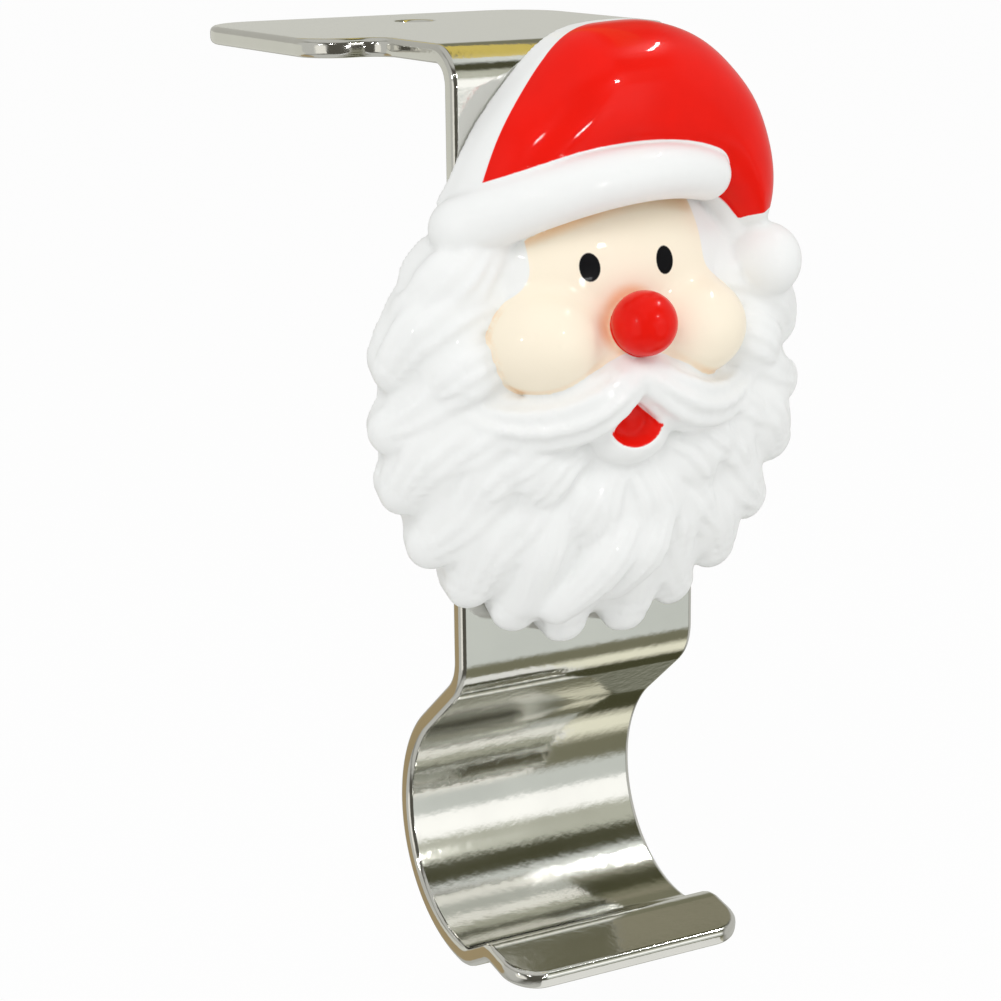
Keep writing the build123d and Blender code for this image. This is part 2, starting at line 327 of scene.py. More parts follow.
class StageSettings(bpy.types.PropertyGroup):
    """Camera and studio."""

    yaw: angle_setting("Yaw", "Turn of the camera to the right", 28.97)
    pitch: angle_setting("Pitch", "Fall of the camera's line of sight", 14.29)
    roll: angle_setting("Roll", "Roll of the camera", 0.70)
    place: FloatVectorProperty(name="Camera place", description="Where the camera stands",
                               subtype="TRANSLATION", default=(-0.1749, -0.29614, 0.02736), precision=5)
    focal_pixels: FloatProperty(name="Focal length", description="Focal length in pixels of the picture",
                                default=2573.0)
    floor: length_setting("Floor", "Height of the floor", CAD_LOW.z - FLOOR_DROP)
    lamp: FloatProperty(name="Lamp power", description="Power of the large softbox",
                        default=2.0, unit="POWER")
    even_light: FloatProperty(name="Even light", description="Strength of the even light of the room",
                              default=0.78)
    glint: FloatProperty(name="Glint lamps", description="Strength of the lamps that the paint mirrors",
                         default=110.0)


# Helpers for objects and nodes

def add_object(name, data):
    """New object in the scene."""
    made = bpy.data.objects.new(name, data)
    bpy.context.scene.collection.objects.link(made)
    return made


def plain_mesh(obj, name):
    """Turns an object's evaluated result into a plain mesh on a new object, and removes the old one."""
    graph = bpy.context.evaluated_depsgraph_get()
    evaluated = obj.evaluated_get(graph)
    mesh = bpy.data.meshes.new_from_object(evaluated, preserve_all_data_layers=True, depsgraph=graph)
    mesh.name = name
    made = add_object(name, mesh)
    bpy.data.objects.remove(obj)
    return made


def opaque(colour, factors=(1, 1, 1)):
    """Colour with full alpha, each channel times its factor."""
    return (*[channel * factor for channel, factor in zip(colour, factors)], 1)


def fill(tree, socket, value):
    """Gives an input a plain value, or a link where the value is a socket."""
    if isinstance(value, bpy.types.NodeSocket):
        tree.links.new(value, socket)
    else:
        socket.default_value = value


def set_up(tree, node, **values):
    """Sets a node's properties and inputs by name, with underscores for the spaces in an input's name."""
    for name, value in values.items():
        if hasattr(node, name):
            setattr(node, name, value)
        else:
            fill(tree, node.inputs[name.replace("_", " ")], value)


def new_node(tree, kind, **values):
    """Adds a node and sets it up."""
    node = tree.nodes.new(kind)
    set_up(tree, node, **values)
    return node


def column(node):
    """How many nodes feed a node one after another, on the longest way to it."""
    feeding = [link.from_node for socket in node.inputs for link in socket.links]
    return max((column(other) + 1 for other in feeding), default=0)


def arrange(tree):
    """Lays the nodes of a tree out in columns, each to the right of those that feed it."""
    rows = {}
    for node in tree.nodes:
        place = column(node)
        row = rows.get(place, 0)
        rows[place] = row + 1
        node.location = (NODE_COLUMN * place, -NODE_ROW * row)


def reckon(tree, operation, *terms, kind="ShaderNodeMath"):
    """Adds a math node on terms in order, and returns its result."""
    node = new_node(tree, kind, operation=operation)
    for socket, term in zip(node.inputs, terms):
        fill(tree, socket, term)
    return node.outputs[0]


def ranged(tree, value, before=(0, 1), after=(0, 1), smooth=False):
    """Adds a map of a value from one range to another, and returns its result."""
    node = new_node(tree, "ShaderNodeMapRange", interpolation_type="SMOOTHSTEP" if smooth else "LINEAR",
                    Value=value, From_Min=before[0], From_Max=before[1], To_Min=after[0], To_Max=after[1])
    return node.outputs["Result"]


def mixed(tree, share, first, second):
    """Adds a mix of two colours, and returns its result."""
    node = new_node(tree, "ShaderNodeMix", data_type="RGBA", Factor=share, A=first, B=second)
    return node.outputs["Result"]


def cloudy(tree, where, scale, detail):
    """Adds a noise pattern, and returns its value."""
    node = new_node(tree, "ShaderNodeTexNoise", Vector=where, Scale=scale, Detail=detail)
    return node.outputs["Fac"]


def banded(tree, share, stops):
    """Adds a colour ramp with stops of position and colour, and returns its colour."""
    node = new_node(tree, "ShaderNodeValToRGB", Fac=share)
    elements = node.color_ramp.elements
    while len(elements) < len(stops):
        elements.new(1.0)
    for element, (position, colour) in zip(elements, stops):
        element.position = position
        element.color = colour
    return node.outputs["Color"]


def node_material(name):
    """New material with nodes, and its tree."""
    material = bpy.data.materials.new(name)
    material.use_nodes = True
    return material, material.node_tree


# Strip

def strip_bends(settings):
    """Parts of the strip's middle line from the plate's back edge to the lip: a straight's length or
    a bend's radius, and the turn in degrees."""
    half = settings.thick / 2
    return [
        (settings.plate_back - SHELF_BEND, STRAIGHT),
        (SHELF_BEND + half, SHELF_TURN),
        (settings.run, STRAIGHT),
        (STEP_BEND + half, STEP_TURN),
        (SLANT, STRAIGHT),
        (settings.bowl + half, BOWL_TURN),
        (CREASE_BEND + half, CREASE_TURN),
        (RISE, STRAIGHT),
        (CREST_BEND + half, CREST_TURN),
        (LIP, STRAIGHT),
    ]


def strip_line(settings, step_degrees=2.0):
    """Points of the middle line, the distances along it where the blank is creased, and its length."""
    y, z, heading, along = settings.plate_back, settings.thick / 2, 180.0, 0.0
    points = [(0.0, y, z)]
    creases = []
    for size, turn in strip_bends(settings):
        if turn == STRAIGHT:
            y += size * math.cos(math.radians(heading))
            z += size * math.sin(math.radians(heading))
            along += size
            points.append((0.0, y, z))
            continue
        steps = max(LEAST_STEPS, round(abs(turn) / step_degrees))
        side = math.copysign(1.0, turn)
        centre_y = y + size * math.cos(math.radians(heading + 90 * side))
        centre_z = z + size * math.sin(math.radians(heading + 90 * side))
        for step in range(steps + 1):
            angle = math.radians(heading - 90 * side + turn * step / steps)
            y = centre_y + size * math.cos(angle)
            z = centre_z + size * math.sin(angle)
            creases.append(along + size * math.radians(abs(turn)) * step / steps)
            if step:
                points.append((0.0, y, z))
        along += size * math.radians(abs(turn))
        heading += turn
    return points, creases, along


def corner(centre, radius, start, end, steps=14):
    """Points of an arc in the flat blank, angles in degrees."""
    angles = np.radians(np.linspace(start, end, steps + 1))
    return [(centre[0] + radius * math.cos(a), centre[1] + radius * math.sin(a)) for a in angles]


def blank_outline(settings, length):
    """Outline of the flat blank: x across the strip, y along it from the plate's back edge."""
    half_plate = settings.plate_width / 2
    half = settings.width / 2
    shoulder = settings.plate_back - settings.shoulder
    front, neck = (share * (half_plate - half) for share in SHOULDER_CORNERS)
    back = settings.back_round
    lip = settings.lip_round
    side = corner((half_plate - back, back), back, -90, 0)
    side += corner((half_plate - front, shoulder - front), front, 0, 90)
    side += corner((half + neck, shoulder + neck), neck, -90, -180)
    side += corner((half - lip, length - lip), lip, 0, 90)
    return side + [(-x, y) for x, y in reversed(side)]


def flat_blank(settings, length, creases):
    """Mesh of the blank before it is bent, with rubbed edges and a line wherever it will bend."""
    bm = bmesh.new()
    hole_place = (0.0, settings.plate_back - settings.screw_back)
    hole = corner(hole_place, settings.screw_hole / 2, 0, 360 - 360 / HOLE_SIDES, HOLE_SIDES - 1)
    edges = []
    for loop in (blank_outline(settings, length), hole):
        verts = [bm.verts.new((x, y, -settings.thick / 2)) for x, y in loop]
        edges += [bm.edges.new((verts[i - 1], verts[i])) for i in range(len(verts))]
    bmesh.ops.triangle_fill(bm, edges=edges, use_beauty=True)
    for place in creases:
        bmesh.ops.bisect_plane(bm, geom=bm.verts[:] + bm.edges[:] + bm.faces[:], dist=1e-7,
                               plane_co=(0, place, 0), plane_no=(0, 1, 0))
    raised = bmesh.ops.extrude_face_region(bm, geom=bm.faces[:], use_keep_orig=True)
    for item in raised["geom"]:
        if isinstance(item, bmesh.types.BMVert):
            item.co.z += settings.thick
    bmesh.ops.recalc_face_normals(bm, faces=bm.faces[:])
    rim = [e for e in bm.edges if len(e.link_faces) == 2 and e.calc_face_angle(0) > RIM_ANGLE]
    bmesh.ops.bevel(bm, geom=rim, offset=settings.edge_round, offset_type="OFFSET", segments=4, profile=0.5,
                    affect="EDGES", clamp_overlap=False)
    bmesh.ops.reverse_faces(bm, faces=bm.faces[:])  # bending turns the blank over
    mesh = bpy.data.meshes.new("flat_blank")
    bm.to_mesh(mesh)
    bm.free()
    return mesh


def bending_tree():
    """Geometry nodes that wrap a flat blank along a path: its length follows the path, and its thickness
    the path's side."""
    tree = bpy.data.node_groups.new("bend_blank", "GeometryNodeTree")
    for name, kind in (("Blank", "Geometry"), ("Path", "Object"), ("Finish", "Material")):
        tree.interface.new_socket(name, in_out="INPUT", socket_type="NodeSocket" + kind)
    tree.interface.new_socket("Strip", in_out="OUTPUT", socket_type="NodeSocketGeometry")
    given = new_node(tree, "NodeGroupInput").outputs
    path = new_node(tree, "GeometryNodeObjectInfo", transform_space="ORIGINAL", Object=given["Path"])
    flat = new_node(tree, "GeometryNodeInputPosition").outputs["Position"]
    parts = new_node(tree, "ShaderNodeSeparateXYZ", Vector=flat).outputs
    sample = new_node(tree, "GeometryNodeSampleCurve", mode="LENGTH", use_all_curves=True,
                      Curves=path.outputs["Geometry"], Length=parts["Y"]).outputs
    vector = "ShaderNodeVectorMath"
    side = reckon(tree, "CROSS_PRODUCT", sample["Tangent"], (1, 0, 0), kind=vector)
    unit = reckon(tree, "NORMALIZE", side, kind=vector)
    lift = new_node(tree, vector, operation="SCALE", Vector=unit, Scale=parts["Z"]).outputs[0]
    across = new_node(tree, "ShaderNodeCombineXYZ", X=parts["X"]).outputs[0]
    out_of_line = reckon(tree, "ADD", across, lift, kind=vector)
    place = reckon(tree, "ADD", sample["Position"], out_of_line, kind=vector)
    bend = new_node(tree, "GeometryNodeSetPosition", Geometry=given["Blank"], Position=place)
    real = new_node(tree, "GeometryNodeRealizeInstances", Geometry=bend.outputs[0])
    finish = new_node(tree, "GeometryNodeSetMaterial", Geometry=real.outputs[0], Material=given["Finish"])
    new_node(tree, "NodeGroupOutput", Strip=finish.outputs[0])
    arrange(tree)
    return tree


def plating_material(settings):
    """Polished plating: bright metal with a faint ripple and small differences in polish."""
    material, tree = node_material("polished_plating")
    where = new_node(tree, "ShaderNodeTexCoord").outputs["Object"]
    cloud = cloudy(tree, where, scale=90.0, detail=4.0)
    stops = ((0.3, opaque(settings.plating, PLATING_SHADE)), (0.7, opaque(settings.plating)))
    tone = banded(tree, cloud, stops)
    polish = ranged(tree, cloud, after=POLISH)
    ripple = cloudy(tree, where, scale=900.0, detail=3.0)
    bump = new_node(tree, "ShaderNodeBump", Strength=0.12, Distance=0.0002, Height=ripple)
    set_up(tree, tree.nodes["Principled BSDF"], Metallic=1.0, Base_Color=tone, Roughness=polish,
           Normal=bump.outputs["Normal"])
    arrange(tree)
    return material


class HOLDER_OT_bend_strip(bpy.types.Operator):
    """Cut the flat blank and bend it into the plate, run, bowl and lip"""

    bl_idname = "holder.bend_strip"
    bl_label = "Bend the strip"

    def execute(self, context):
        settings = context.scene.holder_strip
        points, creases, length = strip_line(settings)
        curve = bpy.data.curves.new("strip_path", "CURVE")
        curve.dimensions = "3D"
        spline = curve.splines.new("POLY")
        spline.points.add(len(points) - 1)
        for point, place in zip(spline.points, points):
            point.co = (*place, 1)
        path = add_object("strip_path", curve)
        blank = add_object("bent_strip_blank", flat_blank(settings, length, creases))
        tree = bending_tree()
        bend = blank.modifiers.new("bend", "NODES")
        bend.node_group = tree
        inputs = [item for item in tree.interface.items_tree if item.in_out == "INPUT"]
        sockets = {item.name: item.identifier for item in inputs}
        bend[sockets["Path"]] = path
        bend[sockets["Finish"]] = plating_material(settings)
        strip = plain_mesh(blank, "bent_strip_rough")
        bpy.data.objects.remove(path)
        strip.data.shade_smooth()
        weigh = strip.modifiers.new("flat_faces_lead", "WEIGHTED_NORMAL")
        weigh.mode = "FACE_AREA"
        weigh.weight = 50
        strip = plain_mesh(strip, "bent_strip")
        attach(strip, "root")
        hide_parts("hook_strip")
        return {"FINISHED"}


# Head: forms as signed distances on a grid

def smooth_min(a, b, blend):
    """Union of two distances with a rounded joint of about the given size."""
    share = np.clip(0.5 + 0.5 * (b - a) / blend, 0, 1)
    return b + (a - b) * share - blend * share * (1 - share)


def shared_length(offset, way):
    """Length of an offset along a direction, times the direction's own length."""
    return offset[0] * way[0] + offset[1] * way[1] + offset[2] * way[2]


class Clay:
    """A block of space round the head, in which forms are measured as signed distances in millimetres."""

    def __init__(self, low, high, cell):
        self.low = np.array(low, float)
        self.cell = cell
        counts = np.ceil((np.array(high) - self.low) / cell).astype(int) + 1
        self.axes = [(self.low[i] + cell * np.arange(counts[i])).astype(np.float32) for i in range(3)]
        self.shape = tuple(counts)

    def empty(self):
        """A field with nothing in it."""
        return np.full(self.shape, OPEN_SPACE, np.float32)

    def window(self, low, high):
        """Slices and coordinates of the part of the block between two corners."""
        slices = []
        for axis in range(3):
            first = int(np.clip((low[axis] - self.low[axis]) // self.cell, 0, self.shape[axis] - 1))
            last = int(np.clip((high[axis] - self.low[axis]) // self.cell + 2, first + 1, self.shape[axis]))
            slices.append(slice(first, last))
        x, y, z = (self.axes[i][slices[i]] for i in range(3))
        return tuple(slices), x[:, None, None], y[None, :, None], z[None, None, :]

    def add_ellipsoid(self, field, centre, radii, blend=0.0, margin=8.0):
        """Adds an ellipsoid to a field."""
        low = [c - r - margin for c, r in zip(centre, radii)]
        high = [c + r + margin for c, r in zip(centre, radii)]
        part, x, y, z = self.window(low, high)
        a, b, c = ((v - m) / r for v, m, r in zip((x, y, z), centre, radii))
        near = np.sqrt(a * a + b * b + c * c)
        slope = np.sqrt((a / radii[0]) ** 2 + (b / radii[1]) ** 2 + (c / radii[2]) ** 2)
        self.join(field, part, near * (near - 1) / np.maximum(slope, 1e-5), blend)

    def add_lock(self, field, points, radii, blend=0.0, strands=0, groove=0.0, flat=1.0, phase=0.0,
                 backed=False, margin=6.0):
        """Adds a tapering tube along points: grooved where strands are asked for, and with its flanks
        carried straight to the back where it is backed."""
        points = np.asarray(points, float)
        reach = max(radii) + margin
        high = points.max(0) + reach
        if backed:
            high[1] = HEAD_BACK + margin
        part, x, y, z = self.window(points.min(0) - reach, high)
        best = np.full(np.broadcast_shapes(x.shape, y.shape, z.shape), FAR_AWAY, np.float32)
        turn = np.zeros_like(best)
        along = np.zeros_like(best)
        count = len(points) - 1
        for i in range(count):
            start, step = points[i], points[i + 1] - points[i]
            unit = step / np.linalg.norm(step)
            side = np.cross(unit, (0.0, -1.0, 0.0))
            side /= np.linalg.norm(side)
            up = np.cross(side, unit)
            offset = x - start[0], y - start[1], z - start[2]
            t = np.clip(shared_length(offset, step) / (step @ step), 0, 1)
            offset = [value - t * pace for value, pace in zip(offset, step)]
            rise = shared_length(offset, up)
            crown = np.maximum(rise, 0) if backed else rise
            beside = np.maximum(shared_length(offset, offset) - rise * rise, 0)
            away = np.sqrt(beside + (crown / flat) ** 2)
            distance = away - (radii[i] + t * (radii[i + 1] - radii[i]))
            closer = distance < best
            best = np.where(closer, distance, best)
            if strands:
                turn = np.where(closer, np.arctan2(shared_length(offset, side), rise), turn)
                along = np.where(closer, (i + t) / count, along)
        if strands:
            fade = np.clip(np.minimum(along, 1 - along) * STRAND_FADE, 0, 1)
            wave = np.cos(strands * turn + phase + STRAND_TWIST * along)
            best = best + groove * fade * (0.5 - 0.5 * wave)
        self.join(field, part, best, blend)

    def join(self, field, part, distance, blend):
        """Puts a distance into part of a field."""
        if blend > 0:
            field[part] = smooth_min(field[part], distance, blend)
        else:
            field[part] = np.minimum(field[part], distance)

    def sample(self, field, places):
        """Field at places inside the block, between the grid's points."""
        spot = (places - self.low) / self.cell
        base = np.clip(np.floor(spot).astype(int), 0, np.array(self.shape) - 2)
        share = np.clip(spot - base, 0, 1)
        value = np.zeros(len(places))
        for corner_index in range(8):
            offset = [(corner_index >> i) & 1 for i in range(3)]
            weight = np.ones(len(places))
            for i in range(3):
                weight *= share[:, i] if offset[i] else 1 - share[:, i]
            spots = base + offset
            value += weight * field[spots[:, 0], spots[:, 1], spots[:, 2]]
        return value

    def slope(self, field, places):
        """Direction in which a field grows fastest."""
        step = self.cell * SLOPE_PROBE
        parts = []
        for axis in range(3):
            shift = np.zeros(3)
            shift[axis] = step
            change = self.sample(field, places + shift) - self.sample(field, places - shift)
            parts.append(change / (2 * step))
        return np.stack(parts, 1)

    def surface(self, field):
        """Points and four-sided faces of the surface where a field is zero."""
        inside = field < 0
        full = np.zeros(tuple(n - 1 for n in self.shape), np.uint8)
        corners = [(i, j, k) for i in (0, 1) for j in (0, 1) for k in (0, 1)]
        for i, j, k in corners:
            full += inside[i:i + full.shape[0], j:j + full.shape[1], k:k + full.shape[2]]
        active = (full > 0) & (full < 8)
        cells = np.argwhere(active)
        number = np.full(full.shape, -1, np.int64)
        number[active] = np.arange(len(cells))
        total = np.zeros((len(cells), 3))
        hits = np.zeros(len(cells))
        for first in corners:
            for axis in range(3):
                if first[axis]:
                    continue
                second = list(first)
                second[axis] = 1
                a = field[tuple((cells + first).T)]
                b = field[tuple((cells + second).T)]
                crossing = (a < 0) != (b < 0)
                share = np.where(crossing, a / np.where(crossing, a - b, 1), 0)
                spot = np.array(first, float) + share[:, None] * (np.array(second) - np.array(first))
                total += spot * crossing[:, None]
                hits += crossing
        places = self.low + self.cell * (cells + total / hits[:, None])
        quads = []
        for axis in range(3):
            one, two = (axis + 1) % 3, (axis + 2) % 3
            lower = [slice(None)] * 3
            upper = [slice(None)] * 3
            lower[axis], upper[axis] = slice(0, -1), slice(1, None)
            before, after = inside[tuple(lower)], inside[tuple(upper)]
            spots = np.argwhere(before != after)
            keep = (spots[:, one] > 0) & (spots[:, two] > 0)
            keep &= (spots[:, one] < self.shape[one] - 1) & (spots[:, two] < self.shape[two] - 1)
            spots = spots[keep]
            ring = []
            for back_one, back_two in ((0, 0), (1, 0), (1, 1), (0, 1)):
                cell = spots.copy()
                cell[:, one] -= back_one
                cell[:, two] -= back_two
                ring.append(number[tuple(cell.T)])
            ring = np.stack(ring, 1)
            leaving = before[tuple(spots.T)]
            quads.append(np.where(leaving[:, None], ring, ring[:, ::-1]))
        return places, np.concatenate(quads)


def through(points, radii, count=10):
    """Smooth line through a few points, with radii eased between them."""
    points = np.asarray(points, float)
    stations = np.linspace(0, 1, len(points))
    fine = np.linspace(0, 1, count)
    degree = len(points) - 1
    line = [np.polyval(np.polyfit(stations, points[:, i], degree), fine) for i in range(3)]
    return np.stack(line, 1), np.interp(fine, np.linspace(0, 1, len(radii)), radii)


def sided(points, side):
    """Points as they are for side 1, and mirrored to the other half of the face for side -1."""
    return [(side * x, y, z) for x, y, z in points]


def closed_curve(points, steps=6):
    """Smooth closed outline through a few points."""
    points = np.asarray(points, float)
    before, after, later = (np.roll(points, shift, 0) for shift in (1, -1, -2))
    made = []
    for t in np.arange(steps) / steps:
        first = (after - before) * t
        second = (2 * before - 5 * points + 4 * after - later) * t ** 2
        third = (3 * points - before - 3 * after + later) * t ** 3
        made.append(0.5 * (2 * points + first + second + third))
    return np.stack(made, 1).reshape(-1, 2)


def plan_distance(clay, outline):
    """Distance of each x and z of the block to a closed outline, below zero inside it."""
    x, z = clay.axes[0][:, None], clay.axes[2][None, :]
    best = np.full((len(clay.axes[0]), len(clay.axes[2])), FAR_AWAY)
    odd = np.zeros(best.shape, bool)
    for (x0, z0), (x1, z1) in zip(outline, np.roll(outline, -1, 0)):
        step_x, step_z = x1 - x0, z1 - z0
        t = np.clip(((x - x0) * step_x + (z - z0) * step_z) / (step_x ** 2 + step_z ** 2), 0, 1)
        best = np.minimum(best, np.hypot(x - x0 - t * step_x, z - z0 - t * step_z))
        crosses = (z0 > z) != (z1 > z)
        odd ^= crosses & (x < x0 + (z - z0) * step_x / (step_z if step_z else 1e-9))
    return np.where(odd, -best, best)


def cushion(clay, plan, front, rounding):
    """Thick slab over a plan whose front edge is rounded: rounding in the plan and in depth."""
    across, deep = rounding
    side = (plan + across)[:, None, :]
    depth = np.broadcast_to(front, plan.shape)[:, None, :] + deep - clay.axes[1][None, :, None]
    ahead = depth * across / deep
    outside = np.hypot(np.maximum(side, 0), np.maximum(ahead, 0))
    return (outside + np.minimum(np.maximum(side, ahead), 0) - across).astype(np.float32)


def brim_height(x):
    """Height of the brim's middle line over x."""
    ends = np.array(BRIM_ENDS)
    return np.polyval(np.polyfit(ends[:, 0], ends[:, 2], 2), x)


def lock_spine(tip, fall, length, bow):
    """Root, belly and tip of a lock in x and z, bowed to one side."""
    angle = math.radians(fall)
    along = np.array((math.cos(angle), -math.sin(angle)))
    aside = np.array((math.sin(angle), math.cos(angle)))
    root = np.array(tip) - length * along
    belly = root + LOCK_BELLY * length * along + aside * bow
    return root, belly, tip


def beard_form(clay, settings):
    """Base of the beard with its layers of locks."""
    rng = np.random.default_rng(settings.seed)
    (x, z), radius = BEARD_DISC
    plan = np.hypot(clay.axes[0][:, None] - x, clay.axes[2][None, :] - z) - radius
    field = cushion(clay, plan, BEARD_FRONT, BEARD_ROUND)
    clay.add_ellipsoid(field, *CHIN, blend=CHIN_BLEND)

    def carve(line, widths, blend, groove):
        """Adds a grooved lock, solid down to the head's back."""
        clay.add_lock(field, *through(line, widths), blend=blend, strands=settings.strands, groove=groove,
                      flat=LOCK_FLATNESS, phase=rng.uniform(0, LOCK_PHASE), backed=True)

    below_pompom = POMPOM[0][2] - POMPOM[1][2]
    for layer, (locks, widths, depths) in enumerate(LOCK_LAYERS):
        for side in (-1, 1):
            for index, (tip, fall, length) in enumerate(locks):
                if side > 0 and tip[1] > below_pompom:
                    continue
                bow = LOCK_BOW if (index + layer) % 2 else LOCK_BACK_BOW * LOCK_BOW
                spine = lock_spine(tip, fall, length, bow)
                line = [(side * spot[0], depth, spot[1]) for spot, depth in zip(spine, depths)]
                carve(line, widths, LOCK_BLEND, settings.groove)
    for line, widths in FOLDS:
        carve(line, widths, FOLD_BLEND, FOLD_GROOVE * settings.groove)
    return field


def head_forms(clay, settings):
    """Each form of the head as its own field, so that paint can follow the forms."""
    forms = {"beard": beard_form(clay, settings)}
    x, z = clay.axes[0][:, None], clay.axes[2][None, :]
    crown = CAP_FRONT - CAP_CROWN * np.exp(-(x ** 2 + (z - CROWN_HEIGHT) ** 2) / CROWN_SPREAD)
    forms["cap"] = cushion(clay, plan_distance(clay, closed_curve(CAP_OUTLINE)), crown, CAP_ROUND)
    for name in ("brim", "cheek", "moustache", *ROUND_FORMS):
        forms[name] = clay.empty()
    clay.add_lock(forms["brim"], *through(BRIM_ENDS, BRIM_RADII, BRIM_STATIONS))
    for name, (centre, radii) in ROUND_FORMS.items():
        clay.add_ellipsoid(forms[name], centre, radii)
    clay.add_ellipsoid(forms["face"], *MUZZLE, blend=MUZZLE_BLEND)
    for side in (1, -1):
        clay.add_ellipsoid(forms["cheek"], sided([CHEEK[0]], side)[0], CHEEK[1])
        sideburn = through(sided(SIDEBURN, side), SIDEBURN_RADII, SIDEBURN_STATIONS)
        clay.add_lock(forms["beard"], *sideburn, blend=SIDEBURN_BLEND)
        moustache = through(sided(MOUSTACHE, side), MOUSTACHE_RADII, MOUSTACHE_STATIONS)
        clay.add_lock(forms["moustache"], *moustache, blend=MOUSTACHE_BLEND, strands=MOUSTACHE_STRANDS,
                      groove=settings.groove)
    clay.add_ellipsoid(forms["beard"], *CORE)
    return forms


def whole_head(clay, forms):
    """All forms moulded into one, hollowed for the mouth and cut flat at the back."""
    whole = smooth_min(forms["beard"], forms["lip"], LIP_JOINT)
    whole = smooth_min(whole, smooth_min(forms["face"], forms["cheek"], CHEEK_JOINT), FACE_JOINT)
    whole = -smooth_min(-whole, forms["hollow"], HOLLOW_JOINT)
    for name, joint in LATER_JOINTS.items():
        whole = smooth_min(whole, forms[name], joint)
    behind = clay.axes[1][None, :, None] - HEAD_BACK
    return np.maximum(whole, behind)


def settled(clay, whole, places):
    """Points moved on to the surface of the whole head."""
    for _ in range(SETTLE_ROUNDS):
        slope = clay.slope(whole, places)
        push = clay.sample(whole, places) / np.maximum((slope ** 2).sum(1), LEAST_SLOPE)
        places = places - np.clip(push, -SETTLE_STEP, SETTLE_STEP)[:, None] * slope
    return places


def crease_shade_shares(clay, whole, places):
    """How much painted shade each point takes in a crease: 0 in the open, 1 where the moulding closes in
    outside it.
    """
    slope = clay.slope(whole, places)
    normal = slope / np.maximum(np.linalg.norm(slope, axis=1), 1e-6)[:, None]
    outside = clay.sample(whole, places + normal * CREASE_SHADE_REACH)
    return np.clip(1 - outside / (CREASE_SHADE_SHARE * CREASE_SHADE_REACH), 0, 1)


def paint_distances(clay, forms, places):
    """How far each point lies outside the red, skin and black paint, in millimetres, below zero inside."""
    x, y, z = places.T
    form = {name: clay.sample(field, places) for name, field in forms.items()}
    past = {name: form[name] - margin for name, margin in PAINT_PAST.items()}
    brim_end = BRIM_ENDS[2][0]
    tail_edge = brim_height(brim_end) - RED_TAIL_SLOPE * (x - brim_end)
    low_edge = np.where(x < brim_end, brim_height(x), tail_edge)
    cap_red = np.maximum(past["cap"], y - np.interp(x, *RED_EDGE))
    cap_red = np.maximum(cap_red, low_edge - z)
    cap_red = np.maximum(cap_red, RED_OFF_BRIM - form["brim"])
    cap_red = np.maximum(cap_red, CUFF - form["pompom"])
    mouth_red = np.maximum(past["hollow"], RED_OFF_MOUSTACHE - form["moustache"])
    red = np.minimum(np.minimum(cap_red, past["nose"]), mouth_red)
    skin = smooth_min(np.maximum(past["face"], np.abs(x) - FOREHEAD), past["cheek"], SKIN_BLEND)
    skin = np.maximum(skin, SKIN_OFF - np.minimum(form["moustache"], form["brim"]))
    eyes = np.hypot((np.abs(x) - EYE_SPREAD) / EYE_SIZE[0], (z - EYE_HEIGHT) / EYE_SIZE[1]) - 1
    black = np.maximum(eyes * EYE_SIZE[0], y - EYE_DEPTH)
    return {"red_paint": red, "skin_paint": skin, "black_paint": black}


def edge_group():
    """Shader group that turns a distance in millimetres into a paint mask with a crisp edge."""
    tree = bpy.data.node_groups.new("paint_edge", "ShaderNodeTree")
    tree.interface.new_socket("Distance", in_out="INPUT", socket_type="NodeSocketFloat")
    softness = tree.interface.new_socket("Softness", in_out="INPUT", socket_type="NodeSocketFloat")
    softness.default_value = PAINT_SOFTNESS
    tree.interface.new_socket("Mask", in_out="OUTPUT", socket_type="NodeSocketFloat")
    given = new_node(tree, "NodeGroupInput").outputs
    share = reckon(tree, "DIVIDE", given["Distance"], given["Softness"])
    mask = ranged(tree, share, before=(1, -1), smooth=True)
    new_node(tree, "NodeGroupOutput", Mask=mask)
    arrange(tree)
    return tree


def painted_material(settings):
    """Glossy paint in red, skin and black over the white moulding, with painted shade darkening the
    creases.
    """
    material, tree = node_material("painted_moulding")
    where = new_node(tree, "ShaderNodeTexCoord").outputs["Object"]
    cloud = cloudy(tree, where, scale=120.0, detail=3.0)
    # painted shade: white and skin darken where the crease attribute says the moulding closes in
    crease_shade = new_node(tree, "ShaderNodeAttribute", attribute_name="crease_shade").outputs["Fac"]
    colour = mixed(tree, crease_shade, opaque(settings.white), opaque(settings.white, WHITE_CREASE_SHADE))
    skin = mixed(tree, crease_shade, opaque(settings.skin), opaque(settings.skin, SKIN_CREASE_PAINT_AND_SHADE))
    red = mixed(tree, cloud, opaque(settings.red), opaque(settings.red, RED_SHADE))
    coats = {"skin_paint": skin, "red_paint": red, "black_paint": opaque(settings.black)}
    edge = edge_group()
    for name, coat in coats.items():
        distance = new_node(tree, "ShaderNodeAttribute", attribute_name=name)
        mask = new_node(tree, "ShaderNodeGroup", node_tree=edge,
                        Distance=distance.outputs["Fac"]).outputs["Mask"]
        colour = mixed(tree, mask, colour, coat)
    # the last mask is that of the black paint, which is duller
    gloss = ranged(tree, mask, after=COAT_WEIGHTS)
    bump = new_node(tree, "ShaderNodeBump", Strength=0.06, Distance=0.0003, Height=cloud)
    set_up(tree, tree.nodes["Principled BSDF"], Base_Color=colour, Roughness=0.3, Specular_IOR_Level=0.04,
           Coat_Weight=gloss, Coat_Roughness=0.03, Normal=bump.outputs["Normal"])
    arrange(tree)
    return material


